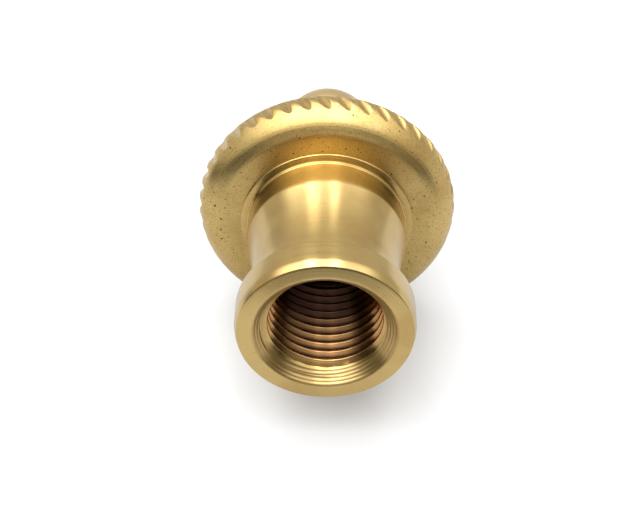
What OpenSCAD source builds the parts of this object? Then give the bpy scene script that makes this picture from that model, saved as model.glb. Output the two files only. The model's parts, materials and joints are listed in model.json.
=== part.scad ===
// Knurled brass cap nut. A waisted sleeve with a blind internal thread and a countersunk mouth
// carries a thin shoulder ring, a thumb flange with a rope-knurled rim, and a ball knob.
// The screw axis lies along Y with the mouth facing -Y, and +Z is up. The origin is on the
// screw axis where the countersink ends and the full thread starts.
// The thread is drawn as rings at its true pitch, so the crests stay one true bore.

/* [Thread] */
// Axial distance between turns, 28 to the inch
thread_pitch = 0.907; // [0.85:0.001:0.95]
// Radius at the thread's roots, inside the wall
thread_major_r = 4.864; // [4.8:0.001:4.95]
// Radius at the thread's crests, where a stud's core passes
thread_minor_r = 4.283; // [4.2:0.001:4.35]
// Depth of the full thread, from the end of the countersink
thread_depth = 9.98; // [9:0.01:10.2]
// Flank angle of the thread form, from the square
thread_flank_angle = 27.5; // [25:0.5:30]

/* [Sleeve] */
// Radius of the mouth lip
lip_r = 6.72; // [6.4:0.01:7]
// Length of the mouth lip's outer band
lip_length = 2.67; // [2:0.01:3.2]
// Length of the shallow bevel at the front of the lip's band
lip_bevel_length = 0.75; // [0.3:0.05:1]
// How far the bevel falls towards the mouth face
lip_bevel_fall = 0.17; // [0.05:0.01:0.3]
// Rounding of the lip's back edge
lip_back_round = 0.1; // [0.05:0.05:0.3]
// Radius of the countersink at the mouth face
countersink_r = 5.35; // [5.2:0.05:5.6]
// Depth of the countersink
countersink_depth = 1; // [0.8:0.01:1.4]
// Smallest radius of the waist
waist_r = 5.62; // [5.5:0.01:5.8]
// Distance of the waist's smallest section behind the mouth face
waist_dist = 4.56; // [4.2:0.01:5.2]
// Radius of the hollow curve that forms the waist
waist_curve_r = 23.5; // [20:0.5:30]
// Distance of the sharp edge where the waist meets the collar, behind the mouth face
collar_dist = 10.4; // [10:0.01:11]
// Length of the collar's cylinder
collar_length = 2.27; // [1.8:0.01:2.4]
// Thickness of the collar's foot, which seats on the ring
foot_thickness = 0.22; // [0.2:0.01:0.3]
// How far the foot stands out from the collar
foot_step = 0.12; // [0.08:0.01:0.2]
// Rounding of the foot's and the ring's front edges
small_round = 0.1; // [0.05:0.01:0.12]
// Radius of the spigot that carries the ring, the flange and the knob
spigot_r = 2.4; // [2:0.1:2.6]
// How far the spigot reaches past the flange, into the knob
spigot_engagement = 2.2; // [1.5:0.1:2.6]

/* [Ring and flange] */
// Radius of the shoulder ring
ring_r = 7.0; // [6.8:0.05:7.3]
// Thickness of the shoulder ring
ring_thickness = 0.22; // [0.15:0.01:0.5]
// Radius of the knurled flange
flange_r = 10.52; // [10:0.02:11]
// Thickness of the knurled flange
flange_thickness = 3.82; // [3.6:0.02:4.2]
// Rounding of the flange's rim at its front face
rim_front_round = 2.2; // [1.8:0.01:2.3]

/* [Knurl] */
// Number of slanted notches round the rim
notch_count = 42; // [36:1:44]
// Distance of each notch's front tip behind the flange's front face
notch_tip_dist = 1.18; // [1.1:0.01:1.3]
// Distance of each notch's front tip from the screw axis
notch_tip_r = 10.27; // [10.2:0.01:10.35]
// Slant of the notches off the screw axis
notch_slant = 24.5; // [15:0.5:30]
// Fall of the notch floor towards the back
notch_fall = 2; // [0:0.5:4]
// Radius of the round cutter that makes a notch
notch_r = 0.55; // [0.45:0.01:0.6]

/* [Knob] */
// Radius of the ball
ball_r = 4.13; // [3.8:0.01:4.4]
// Distance of the ball's centre behind the flange's back face
ball_dist = 9.16; // [8.8:0.01:9.6]
// Smallest radius of the knob's neck
neck_r = 2.5; // [2.3:0.1:3]
// Radius of the hollow curve that forms the neck
neck_curve_r = 5.5; // [5:0.1:6]
// Distance of the neck's smallest section behind the flange's back face
neck_dist = 4.9; // [4.5:0.1:5.1]
// Radius of the knob's base, against the flange
base_r = 5.4; // [5:0.1:6]
// Thickness of the knob's base
base_thickness = 0.7; // [0.5:0.1:1]

/* [Hidden] */

round_fn = 96;
notch_fn = 32;
bright_brass = [0.86, 0.74, 0.45];
matt_brass = [0.76, 0.66, 0.38];

face_y = -countersink_depth;
collar_y = face_y + collar_dist;
foot_y = collar_y + collar_length;
ring_y = foot_y + foot_thickness;
flange_y = ring_y + ring_thickness;
flange_back_y = flange_y + flange_thickness;
spigot_end_y = flange_back_y + spigot_engagement;
ball_y = flange_back_y + ball_dist;
waist_y = face_y + waist_dist;
neck_y = flange_back_y + neck_dist;

// The waist's hollow curve ends at the collar, which takes the curve's radius there.
collar_r = waist_r + waist_curve_r - sqrt(pow(waist_curve_r, 2) - pow(collar_y - waist_y, 2));

thread_height = thread_major_r - thread_minor_r;
flank_length = thread_height * tan(thread_flank_angle);
root_flat = thread_pitch / 6;
thread_turns = floor(thread_depth / thread_pitch);
drill_point_angle = 118;
drill_point_length = thread_minor_r / tan(drill_point_angle / 2);

// The thread's first groove starts a little behind the countersink, on a full crest.
first_groove_y = 0.15 * thread_pitch;

// The rim's back rounding takes what its front rounding leaves of the flange's thickness.
rim_back_round = flange_thickness - rim_front_round;

// How far the notch cutter reaches in front of a notch's tip and behind it
notch_lead = 0.8;
notch_length = 3.4;
// How far shapes of one piece reach into each other
joint_overlap = 0.01;

// Turns a half-outline round the screw axis. Its x is the radius and its y runs along the row's Y.
module turned() {
    rotate([-90, 0, 0]) rotate_extrude($fn = round_fn) children();
}

// A half-outline's rectangle from r0 to r1 and from y0 to y1, with its outer corners rounded.
module band(r0, r1, y0, y1, front_round = 0, back_round = 0) {
    difference() {
        translate([r0, y0]) square([r1 - r0, y1 - y0]);
        if (front_round > 0) corner_cut(r1, y0, front_round, 1);
        if (back_round > 0) corner_cut(r1, y1, back_round, -1);
    }
}

// What a rounding takes off the outer corner at r, y. Inwards is +1 from a front corner.
module corner_cut(r, y, radius, inwards) {
    difference() {
        translate([r - radius, min(y, y + inwards * radius)]) square(radius);
        translate([r - radius, y + inwards * radius]) circle(radius, $fn = round_fn);
    }
}

// One groove of the thread, open to the bore, with its front edge at y.
module thread_groove(y) {
    polygon([
        [thread_minor_r - joint_overlap, y],
        [thread_minor_r, y],
        [thread_major_r, y + flank_length],
        [thread_major_r, y + flank_length + root_flat],
        [thread_minor_r, y + 2 * flank_length + root_flat],
        [thread_minor_r - joint_overlap, y + 2 * flank_length + root_flat]
    ]);
}

// The hollow of the sleeve: countersink, bore with thread grooves, and drill point.
module bore_outline() {
    polygon([
        [0, face_y],
        [countersink_r, face_y],
        [thread_minor_r, 0],
        [thread_minor_r, thread_depth],
        [0, thread_depth + drill_point_length]
    ]);
    for (turn = [0 : thread_turns - 1]) {
        thread_groove(first_groove_y + turn * thread_pitch);
    }
}

// The lip's band, with the shallow bevel cut off its front.
module lip_outline() {
    difference() {
        band(0, lip_r, face_y, face_y + lip_length, 0, lip_back_round);
        polygon([
            [lip_r - lip_bevel_fall, face_y],
            [lip_r, face_y + lip_bevel_length],
            [lip_r + lip_bevel_fall, face_y + lip_bevel_length],
            [lip_r + lip_bevel_fall, face_y]
        ]);
    }
}

module sleeve_outline() {
    lip_outline();
    difference() {
        band(0, collar_r, face_y + lip_length / 2, foot_y + joint_overlap);
        intersection() {
            translate([waist_r + waist_curve_r, waist_y]) circle(waist_curve_r, $fn = round_fn);
            translate([0, face_y]) square([lip_r, collar_dist]);
        }
    }
    band(0, collar_r + foot_step, foot_y, ring_y, small_round);
    band(0, spigot_r, ring_y - joint_overlap, spigot_end_y);
}

module threaded_sleeve() {
    color(bright_brass) turned() difference() {
        sleeve_outline();
        bore_outline();
    }
}

module shoulder_ring() {
    color(bright_brass) turned() band(spigot_r, ring_r, ring_y, flange_y, small_round);
}

// The slanted cylinder that cuts one notch at the top of the rim.
module rim_notch() {
    translate([0, flange_y + notch_tip_dist, notch_tip_r])
        rotate([0, 0, notch_slant]) rotate([-90 - notch_fall, 0, 0])
            translate([0, -notch_r, -notch_lead])
                cylinder(notch_lead + notch_length, r = notch_r, $fn = notch_fn);
}

module knurled_flange() {
    color(matt_brass) difference() {
        turned() band(spigot_r, flange_r, flange_y, flange_back_y, rim_front_round, rim_back_round);
        for (i = [0 : notch_count - 1]) {
            rotate([0, i * 360 / notch_count, 0]) rim_notch();
        }
    }
}

module knob_outline() {
    difference() {
        union() {
            band(0, base_r, flange_back_y, flange_back_y + base_thickness, 0, small_round);
            difference() {
                band(0, base_r, flange_back_y, ball_y);
                translate([neck_r + neck_curve_r, neck_y]) circle(neck_curve_r, $fn = round_fn);
                translate([0, neck_y]) square([base_r, ball_dist]);
            }
            band(0, neck_r, flange_back_y, ball_y);
            intersection() {
                translate([0, ball_y]) circle(ball_r, $fn = round_fn);
                translate([0, ball_y - ball_r]) square([ball_r, 2 * ball_r]);
            }
        }
        translate([0, flange_back_y - joint_overlap]) square([spigot_r, joint_overlap + spigot_engagement]);
    }
}

module ball_knob() {
    color(matt_brass) turned() knob_outline();
}

threaded_sleeve();
shoulder_ring();
knurled_flange();
ball_knob();
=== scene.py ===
import json
import math

import bmesh
import bpy
import numpy as np
from mathutils import Matrix, Vector


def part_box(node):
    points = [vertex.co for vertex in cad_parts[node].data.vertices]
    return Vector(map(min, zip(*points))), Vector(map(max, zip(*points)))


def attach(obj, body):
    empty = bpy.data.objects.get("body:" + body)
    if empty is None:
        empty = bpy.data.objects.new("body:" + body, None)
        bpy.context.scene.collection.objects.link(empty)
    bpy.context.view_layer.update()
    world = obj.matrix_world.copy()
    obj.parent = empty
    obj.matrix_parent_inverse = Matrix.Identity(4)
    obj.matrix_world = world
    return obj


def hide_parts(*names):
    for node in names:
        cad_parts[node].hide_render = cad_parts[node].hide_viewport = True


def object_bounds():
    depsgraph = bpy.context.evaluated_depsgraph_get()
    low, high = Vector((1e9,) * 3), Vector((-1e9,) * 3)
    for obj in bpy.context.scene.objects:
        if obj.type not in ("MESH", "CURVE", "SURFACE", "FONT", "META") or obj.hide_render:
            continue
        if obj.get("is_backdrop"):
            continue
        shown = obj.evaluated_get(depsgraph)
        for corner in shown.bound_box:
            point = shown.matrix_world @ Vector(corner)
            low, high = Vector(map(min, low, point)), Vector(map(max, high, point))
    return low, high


# Knurled brass cap nut: detailed brass pieces, plain studio and camera round the CAD frame.
# Every piece is a skin turned round the screw axis, which is the frame's Y axis. An outline
# is drawn in millimetres as points of (radius, y); the meshes are in metres.

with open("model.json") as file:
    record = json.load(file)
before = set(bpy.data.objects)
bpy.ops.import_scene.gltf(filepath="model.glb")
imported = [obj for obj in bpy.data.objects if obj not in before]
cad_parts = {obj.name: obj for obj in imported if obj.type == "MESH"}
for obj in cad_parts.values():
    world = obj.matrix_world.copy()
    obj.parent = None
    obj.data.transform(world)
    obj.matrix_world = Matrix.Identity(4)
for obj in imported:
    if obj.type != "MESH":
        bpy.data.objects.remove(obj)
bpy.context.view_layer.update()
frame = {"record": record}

MM = 0.001
TAU = 2 * math.pi


def span_mm(node):
    """A CAD node's largest radius, and its first and last place along the axis."""
    low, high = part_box(node)
    return high.x / MM, low.y / MM, high.y / MM


MOUNTS = {m["name"]: m for m in frame["record"]["mounts"]}
THREAD_CREST_R = MOUNTS["stud_thread"]["dims"]["r_mm"]
THREAD_DEPTH = MOUNTS["stud_thread"]["dims"]["length_mm"]
LIP_R, FACE_Y, SPIGOT_END_Y = span_mm("threaded_sleeve")
RING_R, RING_Y, FLANGE_Y = span_mm("shoulder_ring")
FLANGE_R, _, FLANGE_BACK_Y = span_mm("knurled_flange")
KNOB_BASE_R, _, KNOB_END_Y = span_mm("ball_knob")

# Thread and mouth
THREAD_PITCH = 0.907
THREAD_HEIGHT = 0.581
THREAD_FLANK = math.radians(27.5)
THREAD_CREST_ROUND = 0.12
THREAD_ROOT_ROUND = 0.07
THREAD_END_GAP = 0.02
RUN_OUT_TURNS = 1.2
COUNTERSINK_R = 5.35
DRILL_HALF_ANGLE = math.radians(59)
CONE_SLOPE = (COUNTERSINK_R - THREAD_CREST_R) / -FACE_Y

# Sleeve
LIP_LENGTH = 2.67
LIP_BEVEL_LENGTH = 0.75
LIP_BEVEL_FALL = 0.17
LIP_BEVEL_EASE = 1.5
LIP_BACK_ROUND = 0.1
WAIST_R = 5.62
WAIST_DIST = 4.56
WAIST_CURVE_R = 23.5
COLLAR_DIST = 10.4
FOOT_THICKNESS = 0.22
FOOT_STEP = 0.12
SPIGOT_R = 2.4

# Edges: the usual rounding, the larger one of the thin steps, and the bevels where pieces meet
EDGE_ROUND = 0.05
SMALL_ROUND = 0.1
FOOT_BEVEL = 0.02
RING_BEVEL = 0.03
KNOB_BEVEL = 0.04

# Flange and knurl
RIM_FRONT_ROUND = 2.2
RIM_BACK_ROUND = 1.62
NOTCH_COUNT = 42
NOTCH_TIP_DIST = 1.18
NOTCH_TIP_R = 10.27
NOTCH_SLANT = math.radians(24.5)
NOTCH_FALL = math.radians(2)
NOTCH_R = 0.55
NOTCH_LEAD = 0.3
LAND_CROWN = 0.03
CROWN_DEPTH = 0.15

# Knob
BALL_R = 4.13
NECK_R = 2.5
NECK_CURVE_R = 5.5
NECK_DIST = 4.9
KNOB_BASE_THICKNESS = 0.7
COVE_FOOT = 0.1
BALL_END_ANGLE = 89.7

# Meshes: the columns round each piece, the radius of the small cap that closes an end on the axis,
# the least gap between rows, the least half width of a notch, and the angle that makes an edge sharp
SLEEVE_COLUMNS = 256
RING_COLUMNS = 192
KNOB_COLUMNS = 160
AXIS_R = 0.02
ROW_GAP = 1e-6
LEAST_HALF_WIDTH = 0.02
SHARP_ANGLE = math.radians(38)

# Columns across a notch, in half widths from its middle, and across the land beside it
NOTCH_COLUMNS = (-1.0, -0.93, -0.8, -0.6, -0.35, 0.0, 0.35, 0.6, 0.8, 0.93, 1.0)
LAND_COLUMNS = (0.06, 0.18, 0.34, 0.5, 0.66, 0.82, 0.94)


# ---------------------------------------------------------------- outlines


def arc(centre_r, centre_y, radius, start, end, steps):
    """Points on a circle in the outline's plane. The angle is 0 away from the axis, 90 to +Y."""
    angles = [math.radians(start + (end - start) * i / steps) for i in range(steps + 1)]
    return [(centre_r + radius * math.cos(a), centre_y + radius * math.sin(a)) for a in angles]


def line(a, b, steps):
    """Points from a to b, with a left out."""
    return [
        (a[0] + (b[0] - a[0]) * i / steps, a[1] + (b[1] - a[1]) * i / steps)
        for i in range(1, steps + 1)
    ]


def joined(*stretches):
    """One outline from stretches of points, without points that repeat."""
    same_place = 1e-4
    points = []
    for stretch in stretches:
        for p in stretch:
            if not points or math.dist(points[-1], p) > same_place:
                points.append(p)
    return points


def row(turn, radius, y):
    """One row of a skin, as (angle, radius, y) in every column."""
    return np.stack([turn, np.full(len(turn), radius), np.full(len(turn), y)], axis=1)


def plain_rows(points, columns):
    """A row of the skin for each outline point."""
    turn = np.arange(columns) * TAU / columns
    return [row(turn, r, y) for r, y in points]


# ---------------------------------------------------------------- skins


def strip_faces(rows, columns):
    """Faces between each row and the next, without the strip that closes the turn."""
    here = np.arange(columns - 1)
    starts = np.arange(rows - 1)[:, None] * columns + here[None, :]
    quads = np.stack([starts, starts + columns, starts + columns + 1, starts + 1], axis=2)
    return quads.reshape(-1, 4).tolist()


def seam_faces(first, last, columns, jump):
    """Faces from the last column back to the first. On a helix the first column is jump rows off."""
    faces = []
    for k in range(first, last):
        near, far = k * columns + columns - 1, (k + 1) * columns + columns - 1
        over, beyond = (max(k + jump, first) * columns, max(k + 1 + jump, first) * columns)
        faces.append([near, far, beyond, over] if over != beyond else [near, far, over])
    corner = last * columns + columns - 1
    for k in range(last + jump, last):
        faces.append([corner, (k + 1) * columns, k * columns])
    return faces


def end_faces(last, columns, ring):
    """The strip that closes a ring's outline, or the two small caps of a skin that ends on the axis."""
    if not ring:
        return [list(range(columns)), [last * columns + i for i in range(columns)]]
    following = [(i + 1) % columns for i in range(columns)]
    return [[last * columns + i, i, j, last * columns + j] for i, j in enumerate(following)]


def skin(name, rows, node, material, helix=None, ring=False):
    """A closed skin through rows of points, which ends on the axis or, for a ring, at its own start.

    helix is (first row, last row, jump) where a stretch of rows climbs by one turn's rows.
    """
    columns = len(rows[0])
    points = np.concatenate(rows)
    turn, radius, y = points[:, 0], points[:, 1] * MM, points[:, 2] * MM
    verts = np.stack([radius * np.sin(turn), y, radius * np.cos(turn)], axis=1)
    last = len(rows) - 1
    start, end, jump = helix or (0, last, 0)
    faces = strip_faces(len(rows), columns)
    faces += seam_faces(0, start, columns, 0)
    faces += seam_faces(start, end, columns, jump)
    faces += seam_faces(end, last, columns, 0)
    faces += end_faces(last, columns, ring)
    mesh = bpy.data.meshes.new(name)
    mesh.from_pydata(verts.tolist(), [], faces)
    shape = bmesh.new()
    shape.from_mesh(mesh)
    bmesh.ops.recalc_face_normals(shape, faces=shape.faces)
    shape.to_mesh(mesh)
    shape.free()
    mesh.shade_smooth()
    mesh.set_sharp_from_angle(angle=SHARP_ANGLE)
    mesh.materials.append(material)
    piece = bpy.data.objects.new(name, mesh)
    bpy.context.scene.collection.objects.link(piece)
    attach(piece, "root")
    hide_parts(node)
    return piece


# ---------------------------------------------------------------- sleeve


def thread_section():
    """One turn of the thread, as (distance along the turn, height of the wall above the crest)."""
    flank = THREAD_HEIGHT * math.tan(THREAD_FLANK)
    half_flat = (THREAD_PITCH - 2 * flank) / 4
    bend = math.pi / 2 - THREAD_FLANK
    crest_start = half_flat - THREAD_CREST_ROUND * math.tan(bend / 2)
    root_start = half_flat + flank + THREAD_ROOT_ROUND * math.tan(bend / 2)
    crest = [
        (crest_start + THREAD_CREST_ROUND * math.sin(bend * t), THREAD_CREST_ROUND * (1 - math.cos(bend * t)))
        for t in (0.0, 0.25, 0.5, 0.75, 1.0)
    ]
    root = [
        (root_start - THREAD_ROOT_ROUND * math.sin(bend * t),
         THREAD_HEIGHT - THREAD_ROOT_ROUND * (1 - math.cos(bend * t)))
        for t in (1.0, 0.5, 0.0)
    ]
    half = crest + root
    return half + [(THREAD_PITCH - along, height) for along, height in reversed(half)]


def bore_rows(columns):
    """Rows of the threaded wall from its blind end to the countersink's edge, true to the helix.

    Rows that would pass either end are squeezed against it, a hair apart.
    """
    turn = np.arange(columns) * TAU / columns
    mouth_y = -THREAD_HEIGHT / CONE_SLOPE
    section = thread_section()
    turns = math.ceil((THREAD_DEPTH - mouth_y) / THREAD_PITCH) + 1
    start = mouth_y - THREAD_PITCH
    rows = []
    for k in range(turns + 1):
        for along, height in section:
            y = start + k * THREAD_PITCH + along + turn / TAU * THREAD_PITCH
            order = (k * len(section) + len(rows)) * ROW_GAP
            squeezed = np.clip(y, mouth_y + order, THREAD_DEPTH - THREAD_END_GAP + order)
            fade = np.clip((THREAD_DEPTH - squeezed) / (THREAD_PITCH * RUN_OUT_TURNS), 0, 1)
            wall = np.where(y == squeezed, height, 0.0) * fade
            cone = np.clip(-squeezed * CONE_SLOPE, 0, None)
            rows.append(np.stack([turn, THREAD_CREST_R + np.maximum(wall, cone), squeezed], axis=1))
    return rows[::-1]


def drill_point():
    """Outline of the blind end, from the axis to the thread."""
    tip = (AXIS_R, THREAD_DEPTH + THREAD_CREST_R / math.tan(DRILL_HALF_ANGLE))
    return joined([tip], line(tip, (THREAD_CREST_R, THREAD_DEPTH), 8))


def mouth():
    """Outline of the countersink's cone, its softened edge and the flat face up to the lip's bevel."""
    cone_start = (THREAD_CREST_R + THREAD_HEIGHT, -THREAD_HEIGHT / CONE_SLOPE)
    cone_end_y = FACE_Y + EDGE_ROUND * 0.7
    cone_end = (THREAD_CREST_R - cone_end_y * CONE_SLOPE, cone_end_y)
    edge = (COUNTERSINK_R + EDGE_ROUND, FACE_Y)
    edge_middle = ((cone_end[0] + edge[0]) / 2, FACE_Y + EDGE_ROUND * 0.15)
    return joined(
        line(cone_start, cone_end, 6),
        [edge_middle, edge],
        line(edge, (LIP_R - LIP_BEVEL_FALL - EDGE_ROUND, FACE_Y), 6),
    )


def lip_bevel(start_r):
    """The bevel at the front of the lip's band, which eases into the band."""
    steps = [i / 10 for i in range(1, 10)]
    length = LIP_BEVEL_LENGTH - EDGE_ROUND
    return [
        (start_r + (LIP_R - start_r) * (1 - (1 - t) ** LIP_BEVEL_EASE), FACE_Y + EDGE_ROUND + length * t)
        for t in steps
    ]


def lip_and_waist():
    """Outline of the lip's band and the hollow waist, up to the collar's sharp edge."""
    bevel_r = LIP_R - LIP_BEVEL_FALL
    back_y = FACE_Y + LIP_LENGTH
    waist_y = FACE_Y + WAIST_DIST
    collar_y = FACE_Y + COLLAR_DIST
    start_angle = 180 + math.degrees(math.asin((waist_y - back_y - LIP_BACK_ROUND) / WAIST_CURVE_R))
    end_angle = 180 - math.degrees(math.asin((collar_y - waist_y) / WAIST_CURVE_R))
    waist = arc(WAIST_R + WAIST_CURVE_R, waist_y, WAIST_CURVE_R, start_angle, end_angle, 40)
    fillet_r = LIP_BACK_ROUND
    return joined(
        arc(bevel_r - EDGE_ROUND, FACE_Y + EDGE_ROUND, EDGE_ROUND, -90, 0, 5),
        lip_bevel(bevel_r),
        line((LIP_R, FACE_Y + LIP_BEVEL_LENGTH), (LIP_R, back_y - LIP_BACK_ROUND), 8),
        arc(LIP_R - LIP_BACK_ROUND, back_y - LIP_BACK_ROUND, LIP_BACK_ROUND, 0, 90, 6),
        arc(waist[0][0] + fillet_r, back_y + fillet_r, fillet_r, 270, 180, 6),
        waist,
    )


def collar_and_spigot(collar_r):
    """Outline of the collar, its foot against the ring, and the hidden spigot back to the axis."""
    collar_y = FACE_Y + COLLAR_DIST
    foot_r = collar_r + FOOT_STEP
    foot_y = RING_Y - FOOT_THICKNESS
    return joined(
        arc(collar_r - EDGE_ROUND, collar_y + EDGE_ROUND, EDGE_ROUND, -15, 0, 2),
        line((collar_r, collar_y + EDGE_ROUND), (collar_r, foot_y - SMALL_ROUND), 8),
        arc(foot_r, foot_y - SMALL_ROUND, FOOT_STEP, 180, 110, 5),
        arc(foot_r - SMALL_ROUND, foot_y + SMALL_ROUND, SMALL_ROUND, -70, 0, 5),
        line((foot_r, foot_y + SMALL_ROUND), (foot_r, RING_Y - FOOT_BEVEL), 2),
        [(foot_r - RING_BEVEL, RING_Y), (SPIGOT_R, RING_Y)],
        line((SPIGOT_R, RING_Y), (SPIGOT_R, SPIGOT_END_Y - SMALL_ROUND), 4),
        [(SPIGOT_R - SMALL_ROUND, SPIGOT_END_Y), (AXIS_R, SPIGOT_END_Y)],
    )


def threaded_sleeve(material):
    blind_end = plain_rows(drill_point(), SLEEVE_COLUMNS)
    bore = bore_rows(SLEEVE_COLUMNS)
    lip = lip_and_waist()
    outside = joined(mouth(), lip, collar_and_spigot(lip[-1][0]))
    rows = blind_end + bore + plain_rows(outside, SLEEVE_COLUMNS)
    helix = (len(blind_end), len(blind_end) + len(bore) - 1, -len(thread_section()))
    return skin("sleeve_turned", rows, "threaded_sleeve", material, helix=helix)


# ---------------------------------------------------------------- ring


def shoulder_ring(material):
    outline = joined(
        [(SPIGOT_R, FLANGE_Y), (SPIGOT_R, RING_Y)],
        line((SPIGOT_R, RING_Y), (RING_R - SMALL_ROUND, RING_Y), 6),
        arc(RING_R - SMALL_ROUND, RING_Y + SMALL_ROUND, SMALL_ROUND, -90, 0, 6),
        line((RING_R, RING_Y + SMALL_ROUND), (RING_R, FLANGE_Y - RING_BEVEL), 2),
        [(RING_R - RING_BEVEL, FLANGE_Y)],
    )
    rows = plain_rows(outline, RING_COLUMNS)
    return skin("ring_turned", rows, "shoulder_ring", material, ring=True)


# ---------------------------------------------------------------- flange


def knurled_row(radius, y):
    """One row round the rim at this y, with every notch cut into it by a thin slanted cylinder."""
    behind_tip = y - (FLANGE_Y + NOTCH_TIP_DIST)
    floor_r = NOTCH_TIP_R - math.tan(NOTCH_FALL) * behind_tip
    depth = max(radius - floor_r, 0.0)
    reach = math.sqrt(max(NOTCH_R**2 - (NOTCH_R - depth) ** 2, 0.0))
    half_width = max(reach, LEAST_HALF_WIDTH)
    pitch = TAU * FLANGE_R / NOTCH_COUNT
    centre = -math.tan(NOTCH_SLANT) * max(behind_tip, -NOTCH_LEAD)
    crown = LAND_CROWN * min(depth / CROWN_DEPTH, 1.0)
    cuts = []
    for across in NOTCH_COLUMNS:
        rise = NOTCH_R - math.sqrt(NOTCH_R**2 - min(across * half_width, NOTCH_R) ** 2)
        cuts.append((centre + across * half_width, max(depth - rise, crown)))
    land_start = centre + half_width
    land_width = pitch - 2 * half_width
    for t in LAND_COLUMNS:
        cuts.append((land_start + land_width * t, crown * (2 * t - 1) ** 4))
    return np.array([
        ((i * pitch + offset) / FLANGE_R, radius - cut, y) for i in range(NOTCH_COUNT) for offset, cut in cuts
    ])


def flange_rows():
    """The flange's rows from its hole over the front face and the knurled rim to the back face."""
    front = arc(FLANGE_R - RIM_FRONT_ROUND, FLANGE_Y + RIM_FRONT_ROUND, RIM_FRONT_ROUND, -90, 0, 44)
    back = arc(FLANGE_R - RIM_BACK_ROUND, FLANGE_BACK_Y - RIM_BACK_ROUND, RIM_BACK_ROUND, 0, 90, 30)
    rim = joined(front, back)
    knurled = [knurled_row(r, y) for r, y in rim]
    hole_front = (SPIGOT_R, FLANGE_Y)
    hole_back = (SPIGOT_R, FLANGE_BACK_Y)
    front_turn = knurled_row(FLANGE_R, FLANGE_Y)[:, 0]
    back_turn = knurled[-1][:, 0]
    front_face = [hole_back, hole_front] + line(hole_front, rim[0], 10)[:-1]
    back_face = line(rim[-1], hole_back, 6)[:-1]
    rows = [row(front_turn, r, y) for r, y in front_face]
    rows += knurled
    rows += [row(back_turn, r, y) for r, y in back_face]
    return rows


def knurled_flange(material):
    return skin("flange_knurled", flange_rows(), "knurled_flange", material, ring=True)


# ---------------------------------------------------------------- knob


def ball_knob(material):
    neck_y = FLANGE_BACK_Y + NECK_DIST
    base_end_y = FLANGE_BACK_Y + KNOB_BASE_THICKNESS
    cove_start = 180 + math.degrees(math.asin((neck_y - base_end_y - COVE_FOOT) / NECK_CURVE_R))
    cove = arc(NECK_R + NECK_CURVE_R, neck_y, NECK_CURVE_R, cove_start, 180, 20)
    ball_start = -math.degrees(math.acos(NECK_R / BALL_R))
    outline = joined(
        [(AXIS_R, SPIGOT_END_Y), (SPIGOT_R, SPIGOT_END_Y), (SPIGOT_R, FLANGE_BACK_Y)],
        line((SPIGOT_R, FLANGE_BACK_Y), (KNOB_BASE_R - KNOB_BEVEL, FLANGE_BACK_Y), 4),
        [(KNOB_BASE_R, FLANGE_BACK_Y + KNOB_BEVEL)],
        arc(KNOB_BASE_R - SMALL_ROUND, base_end_y - SMALL_ROUND, SMALL_ROUND, 0, 90, 5),
        [(cove[0][0] + COVE_FOOT, base_end_y)],
        cove,
        arc(0, KNOB_END_Y - BALL_R, BALL_R, ball_start, BALL_END_ANGLE, 40),
    )
    return skin("knob_ball", plain_rows(outline, KNOB_COLUMNS), "ball_knob", material)


# ---------------------------------------------------------------- materials

BRASS = (0.68, 0.49, 0.18)
DARK_BRASS = (0.58, 0.39, 0.13)
KNOB_BRASS = (0.72, 0.55, 0.28)
DARK_KNOB_BRASS = (0.62, 0.45, 0.2)
PIT_TONE = (0.035, 0.018, 0.008)
SPECK_TONE = (0.3, 0.18, 0.06)
CONE_TONE = (0.4, 0.25, 0.085)
THREAD_TONE = (0.62, 0.34, 0.14)
# Root and deep tones: partly tarnish, partly painted shade of the thread roots and the deep bore
ROOT_TARNISH_AND_SHADE = (0.04, 0.018, 0.01)
DEEP_TARNISH_AND_SHADE = (0.06, 0.028, 0.018)

# Detail of the patterns, as features to the metre. Pits also have their radius in cells.
TURNING_SCALE = 9000
CLOUD_SCALE = 260
LUMP_SCALE = 2600
GRAIN_SCALE = 14000
SPECK_SCALE = 7500
WIDE_PITS = (2200, 0.24)
FINE_PITS = (5200, 0.3)
NOISE_ROUGHNESS = 0.55

# Where each pattern starts to show and shows fully, and how much it then changes
CLOUD_SPAN = (0.35, 0.7)
TURNING_SPAN = (0.45, 0.75)
SPECK_SPAN = (0.53, 0.67)
CLOUD_ROUGH_SPAN = (0.4, 0.7)
TURNING_ROUGH_SPAN = (0.3, 0.8)
TURNING_TONE_SHARE = 0.25
CONE_TONE_SHARE = 0.4
BORE_STRETCH = 0.25

# The bump's unit, and heights in that unit
BUMP_UNIT = 0.01 * MM
BUMP_STRENGTH = 0.35
GRAIN_HEIGHT = 0.25
PIT_DEPTH = 4.0
SPECK_DEPTH = 1.5
CONE_RING_HEIGHT = 3.0
CONE_RING_PITCH = 0.19 * MM

# What adds to the roughness
TURNING_ROUGH = 0.08
CLOUD_ROUGH = 0.05
PIT_ROUGH = 0.3
CONE_ROUGH = 0.13

# Where the bore's metal and the cone's are, and where the bore darkens to its roots and its depth: tarnish
# with painted shade of the thread roots and the deep hole
MOUTH_METAL_R = 5.4 * MM
CONE_FADE = (-0.3 * MM, 0.0)
MOUTH_FADE = (-0.4 * MM, 1.6 * MM)
ROOT_TARNISH_AND_SHADE_FADE = (4.4 * MM, 4.75 * MM)
DEPTH_TARNISH_AND_SHADE_FADE = (2.5 * MM, 6.5 * MM)

# The clear coat's roughness, and the quarter turn of the direction in which highlights stretch
COAT_ROUGHNESS = 0.2
STRETCH_TURN = 0.25


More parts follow.
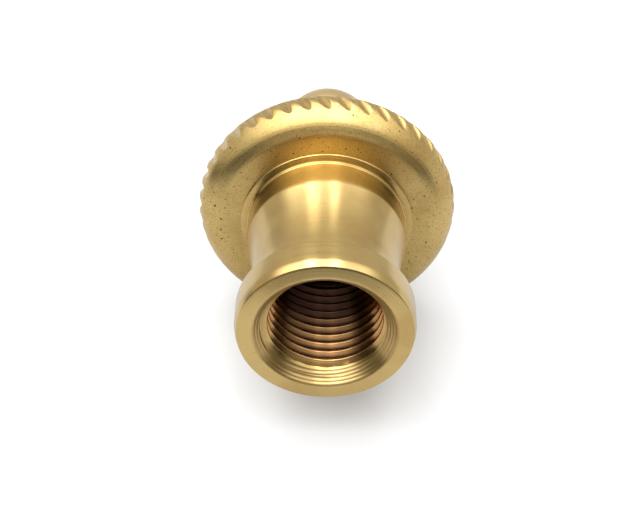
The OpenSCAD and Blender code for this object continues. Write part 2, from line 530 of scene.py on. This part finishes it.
class Nodes:
    """Short calls for building one node tree."""

    def __init__(self, tree):
        self.tree = tree

    def add(self, kind, **values):
        node = self.tree.nodes.new(kind)
        for key, value in values.items():
            setattr(node, key, value)
        return node

    def link(self, source, target):
        self.tree.links.new(source, target)

    def feed(self, socket, value):
        """Links a socket to the input, or sets the input to a number or (r, g, b)."""
        if isinstance(value, tuple):
            socket.default_value = (*value, 1)
        elif isinstance(value, (int, float)):
            socket.default_value = value
        else:
            self.link(value, socket)

    def math(self, operation, a, b=None, clamp=False):
        node = self.add("ShaderNodeMath", operation=operation, use_clamp=clamp)
        self.feed(node.inputs[0], a)
        if b is not None:
            self.feed(node.inputs[1], b)
        return node.outputs[0]

    def plus(self, a, b):
        return self.math("ADD", a, b)

    def minus(self, a, b):
        return self.math("SUBTRACT", a, b)

    def times(self, a, b):
        return self.math("MULTIPLY", a, b)

    def rise(self, value, low, high):
        """0 at low and 1 at high, eased between them."""
        node = self.add("ShaderNodeMapRange", interpolation_type="SMOOTHSTEP")
        self.link(value, node.inputs["Value"])
        node.inputs["From Min"].default_value = low
        node.inputs["From Max"].default_value = high
        return node.outputs["Result"]

    def fall(self, value, low, high, drop=1.0):
        """1 at low and 1 - drop at high, eased between them."""
        return self.minus(1.0, self.times(self.rise(value, low, high), drop))

    def vector(self, x, y, z):
        node = self.add("ShaderNodeCombineXYZ")
        for socket, value in zip(node.inputs, (x, y, z)):
            self.feed(socket, value)
        return node.outputs[0]

    def split(self, vector):
        node = self.add("ShaderNodeSeparateXYZ")
        self.link(vector, node.inputs[0])
        return node.outputs

    def noise(self, vector, scale, detail=3.0):
        node = self.add("ShaderNodeTexNoise")
        self.link(vector, node.inputs["Vector"])
        node.inputs["Scale"].default_value = scale
        node.inputs["Detail"].default_value = detail
        node.inputs["Roughness"].default_value = NOISE_ROUGHNESS
        return node.outputs["Fac"]

    def mix(self, amount, a, b):
        """Colour a where amount is 0 and b where it is 1. Colours are sockets or (r, g, b)."""
        node = self.add("ShaderNodeMix", data_type="RGBA")
        self.feed(node.inputs[0], amount)
        self.feed(node.inputs[6], a)
        self.feed(node.inputs[7], b)
        return node.outputs[2]


def new_material(name):
    material = bpy.data.materials.new(name)
    material.use_nodes = True
    return material, Nodes(material.node_tree), material.node_tree.nodes["Principled BSDF"]


def pits_of(n, place, scale, largest, share):
    """1 inside scattered round pits and 0 outside. largest is a pit's radius in cells."""
    cells = n.add("ShaderNodeTexVoronoi", feature="F1")
    n.link(place, cells.inputs["Vector"])
    cells.inputs["Scale"].default_value = scale
    chance = n.add("ShaderNodeSeparateColor")
    n.link(cells.outputs["Color"], chance.inputs[0])
    has_pit = n.math("LESS_THAN", chance.outputs[0], share)
    size = n.plus(n.times(chance.outputs[1], largest / 2), largest / 2)
    inside = n.minus(size, cells.outputs["Distance"])
    return n.times(n.rise(inside, 0.0, largest / 3), has_pit)


def bore_and_cone(n, radius, y):
    """How much a place belongs to the threaded bore, and how much to the countersink's cone."""
    in_mouth = n.math("LESS_THAN", radius, MOUTH_METAL_R)
    bore = n.times(n.rise(y, *MOUTH_FADE), in_mouth)
    cone = n.times(n.minus(1.0, n.rise(y, *CONE_FADE)), in_mouth)
    return bore, cone


def tarnish_and_painted_shade(n, colour, radius, y, bore, cone):
    """A browner tone in the cone, and tarnish with painted shade that darkens the thread roots and the bore
    towards its blind end.
    """
    tarnish_and_shade = n.mix(n.rise(radius, *ROOT_TARNISH_AND_SHADE_FADE), THREAD_TONE, ROOT_TARNISH_AND_SHADE)
    tarnish_and_shade = n.mix(n.rise(y, *DEPTH_TARNISH_AND_SHADE_FADE), tarnish_and_shade, DEEP_TARNISH_AND_SHADE)
    colour = n.mix(n.times(cone, CONE_TONE_SHARE), colour, CONE_TONE)
    return n.mix(bore, colour, tarnish_and_shade)


def brass(name, tone, dark_tone, roughness, grooves, lumps, pit_share, brushed,
          coat=0.5, specks=0.0, has_bore=False):
    """Brass with turning marks round the axis, cloudy colour, lumps, grain, specks and pits.

    brushed is how much the highlights stretch, and coat is the weight of the clear coat.
    """
    material, n, shader = new_material(name)
    place = n.add("ShaderNodeTexCoord").outputs["Object"]
    x, y, z = n.split(place)
    radius = n.math("SQRT", n.plus(n.times(x, x), n.times(z, z)))
    turning = n.noise(n.vector(radius, y, 0.0), TURNING_SCALE, 4.0)
    clouds = n.noise(place, CLOUD_SCALE)
    lump = n.noise(place, LUMP_SCALE)
    grain = n.noise(place, GRAIN_SCALE, 2.0)
    speck = n.times(n.rise(n.noise(place, SPECK_SCALE, 2.0), *SPECK_SPAN), specks)
    wide_pits = pits_of(n, place, *WIDE_PITS, pit_share)
    fine_pits = pits_of(n, place, *FINE_PITS, pit_share)
    pits = n.math("MAXIMUM", wide_pits, fine_pits)

    turning_tone = n.times(n.rise(turning, *TURNING_SPAN), TURNING_TONE_SHARE)
    colour = n.mix(n.rise(clouds, *CLOUD_SPAN), tone, dark_tone)
    colour = n.mix(turning_tone, colour, dark_tone)
    rough = n.plus(n.times(n.rise(turning, *TURNING_ROUGH_SPAN), TURNING_ROUGH), roughness)
    rough = n.plus(rough, n.times(n.rise(clouds, *CLOUD_ROUGH_SPAN), CLOUD_ROUGH))
    height = n.plus(n.times(turning, grooves), n.times(grain, GRAIN_HEIGHT))
    height = n.plus(height, n.times(lump, lumps))
    if has_bore:
        bore, cone = bore_and_cone(n, radius, y)
        # The bore darkens to its roots and its depth, as tarnish with painted shade
        colour = tarnish_and_painted_shade(n, colour, radius, y, bore, cone)
        rough = n.plus(rough, n.times(cone, CONE_ROUGH))
        coat = n.times(n.minus(1.0, bore), coat)
        brushed = n.plus(n.times(bore, BORE_STRETCH), brushed)
        cone_rings = n.times(n.math("SINE", n.times(y, TAU / CONE_RING_PITCH)), cone)
        height = n.plus(height, n.times(cone_rings, CONE_RING_HEIGHT))
    colour = n.mix(speck, colour, SPECK_TONE)
    colour = n.mix(pits, colour, PIT_TONE)
    rough = n.math("ADD", rough, n.times(pits, PIT_ROUGH), clamp=True)
    height = n.minus(height, n.times(pits, PIT_DEPTH))
    height = n.minus(height, n.times(speck, SPECK_DEPTH))

    bump = n.add("ShaderNodeBump")
    bump.inputs["Strength"].default_value = BUMP_STRENGTH
    bump.inputs["Distance"].default_value = BUMP_UNIT
    n.link(height, bump.inputs["Height"])
    tangent = n.add("ShaderNodeTangent", direction_type="RADIAL", axis="Y")
    n.link(colour, shader.inputs["Base Color"])
    n.link(rough, shader.inputs["Roughness"])
    n.link(bump.outputs[0], shader.inputs["Normal"])
    n.link(tangent.outputs[0], shader.inputs["Tangent"])
    n.feed(shader.inputs["Coat Weight"], coat)
    n.feed(shader.inputs["Anisotropic"], brushed)
    shader.inputs["Anisotropic Rotation"].default_value = STRETCH_TURN
    shader.inputs["Coat Roughness"].default_value = COAT_ROUGHNESS
    shader.inputs["Metallic"].default_value = 1.0
    return material


def turned_brass():
    return brass("turned_brass", BRASS, DARK_BRASS, roughness=0.17, grooves=1.0, lumps=0.0,
                 pit_share=0.004, brushed=0.7, has_bore=True)


def ring_brass():
    return brass("ring_brass", BRASS, DARK_BRASS, roughness=0.2, grooves=1.0, lumps=0.0,
                 pit_share=0.0, brushed=0.6)


def cast_brass():
    return brass("cast_brass", BRASS, DARK_BRASS, roughness=0.27, grooves=2.4, lumps=1.2,
                 pit_share=0.16, brushed=0.0, coat=0.25, specks=0.55)


def knob_brass():
    return brass("knob_brass", KNOB_BRASS, DARK_KNOB_BRASS, roughness=0.38, grooves=0.6, lumps=0.5,
                 pit_share=0.03, brushed=0.0)


# ---------------------------------------------------------------- studio

FLOOR_HALF = 3.0
FLOOR_TONE = 0.4
FLOOR_SEEN_TONE = 0.62
CARD_TONE = 0.02
STAGE_ROUGHNESS = 0.9

# Dark cards that stand on the floor: name, start (x, y), end (x, y) and the z of the top edge.
# The wings stand a hair in front of the low card.
CARD_Y = -0.02
WING_Y = CARD_Y - 0.1 * MM
DARK_CARDS = (
    ("low_card", (-0.06, CARD_Y), (0.05, CARD_Y), 0.001),
    ("left_wing", (-0.06, WING_Y), (-0.018, WING_Y), 0.011),
    ("left_side", (-0.06, CARD_Y), (-0.06, 0.025), 0.004),
    ("right_wing", (0.02, WING_Y), (0.06, WING_Y), 0.009),
)

# Where the light's edges are, in degrees: from the left across to the right of straight up, and
# from the front along to the back. The box is dimmer right of its middle.
BOX_LEFT = (-64, -42)
BOX_MIDDLE = (10, 22)
BOX_RIGHT = (38, 66)
BOX_FRONT = (-62, -36)
BOX_BACK = (16, 42)
STRIP_FRONT = (-64, -34)
STRIP_BACK = (30, 46)
CORNER_FRONT = (-66, -46)
CORNER_SIDE = (26, 60)

# Brightness of the room, of what its front corners lose, of the box, and how much the box dims
ROOM_LIGHT = 0.6
CORNER_DARKENING = 0.52
BOX_LIGHT = 2.6
BOX_DIMMING = 0.5

# The two strips in the box, as (middle, half width, brightness), the first two in degrees across
STRIPS = ((-18, 7, 2.2), (9, 5, 1.8))

# The light's colour goes from warm to cool between these brightnesses.
TINT_SPAN = (0.5, 1.8)
WARM_LIGHT = (1.0, 0.96, 0.88)
COOL_LIGHT = (0.97, 0.98, 1.0)
BACKDROP = (1.0, 1.0, 1.0)


def stage_sheet(name, corners, tone):
    """A flat sheet of the stage, with a matt paint of one grey."""
    mesh = bpy.data.meshes.new(name)
    mesh.from_pydata(corners, [], [(0, 1, 2, 3)])
    material, n, shader = new_material(name)
    n.feed(shader.inputs["Base Color"], (tone, tone, tone))
    shader.inputs["Roughness"].default_value = STAGE_ROUGHNESS
    mesh.materials.append(material)
    sheet = bpy.data.objects.new(name, mesh)
    bpy.context.scene.collection.objects.link(sheet)
    sheet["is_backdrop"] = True
    return sheet, n, shader


def floor():
    """A pale floor. The camera sees it paler than the brass does, as a bleached backdrop."""
    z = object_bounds()[0].z
    square = [(-1, -1), (1, -1), (1, 1), (-1, 1)]
    corners = [(x * FLOOR_HALF, y * FLOOR_HALF, z) for x, y in square]
    _, n, shader = stage_sheet("floor", corners, FLOOR_TONE)
    seen = n.add("ShaderNodeLightPath").outputs["Is Camera Ray"]
    tone = n.mix(seen, (FLOOR_TONE,) * 3, (FLOOR_SEEN_TONE,) * 3)
    n.link(tone, shader.inputs["Base Color"])


def dark_card(name, start, end, top):
    """A dark card that stands on the floor from start to end, and that only reflections see."""
    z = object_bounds()[0].z
    card, _, _ = stage_sheet(name, [(*start, z), (*end, z), (*end, top), (*start, top)], CARD_TONE)
    card.visible_camera = False
    card.visible_shadow = False
    card.visible_diffuse = False


def studio():
    floor()
    for card in DARK_CARDS:
        dark_card(*card)


def light_from(n, across, along):
    """Light from a wide box overhead that runs forwards, with two brighter strips along it.

    The room round it is dim, and dimmer in its front corners. across is the angle to the right of
    straight up, and along is the angle towards the back.
    """
    width = n.times(n.rise(across, *BOX_LEFT), n.fall(across, *BOX_MIDDLE, BOX_DIMMING))
    width = n.times(width, n.fall(across, *BOX_RIGHT))
    length = n.times(n.rise(along, *BOX_FRONT), n.fall(along, *BOX_BACK))
    corners = n.times(n.fall(along, *CORNER_FRONT), n.rise(n.math("ABSOLUTE", across), *CORNER_SIDE))
    room = n.minus(ROOM_LIGHT, n.times(corners, CORNER_DARKENING))
    light = n.plus(n.times(n.times(width, length), BOX_LIGHT), room)
    strip_length = n.times(n.fall(along, *STRIP_BACK), n.rise(along, *STRIP_FRONT))
    for middle, half_width, brightness in STRIPS:
        off = n.math("ABSOLUTE", n.minus(across, middle))
        strip = n.times(n.fall(off, half_width * 0.6, half_width * 1.5), strip_length)
        light = n.plus(light, n.times(strip, brightness))
    return light


def surroundings():
    """The world's light, a little warmer where it is dim, and a plain white backdrop to the camera."""
    world = bpy.data.worlds.new("studio")
    bpy.context.scene.world = world
    world.use_nodes = True
    n = Nodes(world.node_tree)
    x, y, z = n.split(n.add("ShaderNodeTexCoord").outputs["Generated"])
    across = n.times(n.math("ARCTAN2", x, z), 180 / math.pi)
    along = n.times(n.math("ARCSINE", y), 180 / math.pi)
    light = light_from(n, across, along)
    tint = n.mix(n.rise(light, *TINT_SPAN), WARM_LIGHT, COOL_LIGHT)
    seen = n.add("ShaderNodeLightPath").outputs["Is Camera Ray"]
    background = world.node_tree.nodes["Background"]
    n.link(n.mix(seen, tint, BACKDROP), background.inputs["Color"])
    n.link(n.plus(n.times(light, n.minus(1.0, seen)), seen), background.inputs["Strength"])


# ---------------------------------------------------------------- camera

LENS = 67.92
CAMERA_ELEVATION = math.radians(39.69)
CAMERA_ROLL = math.radians(1.14)
CAMERA_DISTANCE = 0.0947
AIM = Vector((-0.00064, 0.00808, -0.00012))


def camera():
    """The camera stands in front of the mouth and above it, and looks back and down."""
    data = bpy.data.cameras.new("camera")
    data.lens = LENS
    data.clip_start, data.clip_end = 0.005, 20
    camera = bpy.data.objects.new("camera", data)
    back = Vector((0, -math.cos(CAMERA_ELEVATION), math.sin(CAMERA_ELEVATION)))
    turn = back.to_track_quat("Z", "Y").to_matrix() @ Matrix.Rotation(CAMERA_ROLL, 3, "Z")
    camera.matrix_world = Matrix.Translation(AIM + back * CAMERA_DISTANCE) @ turn.to_4x4()
    bpy.context.scene.collection.objects.link(camera)
    bpy.context.scene.camera = camera


threaded_sleeve(turned_brass())
shoulder_ring(ring_brass())
knurled_flange(cast_brass())
ball_knob(knob_brass())
studio()
surroundings()
camera()
bpy.context.scene.view_settings.view_transform = "Standard"
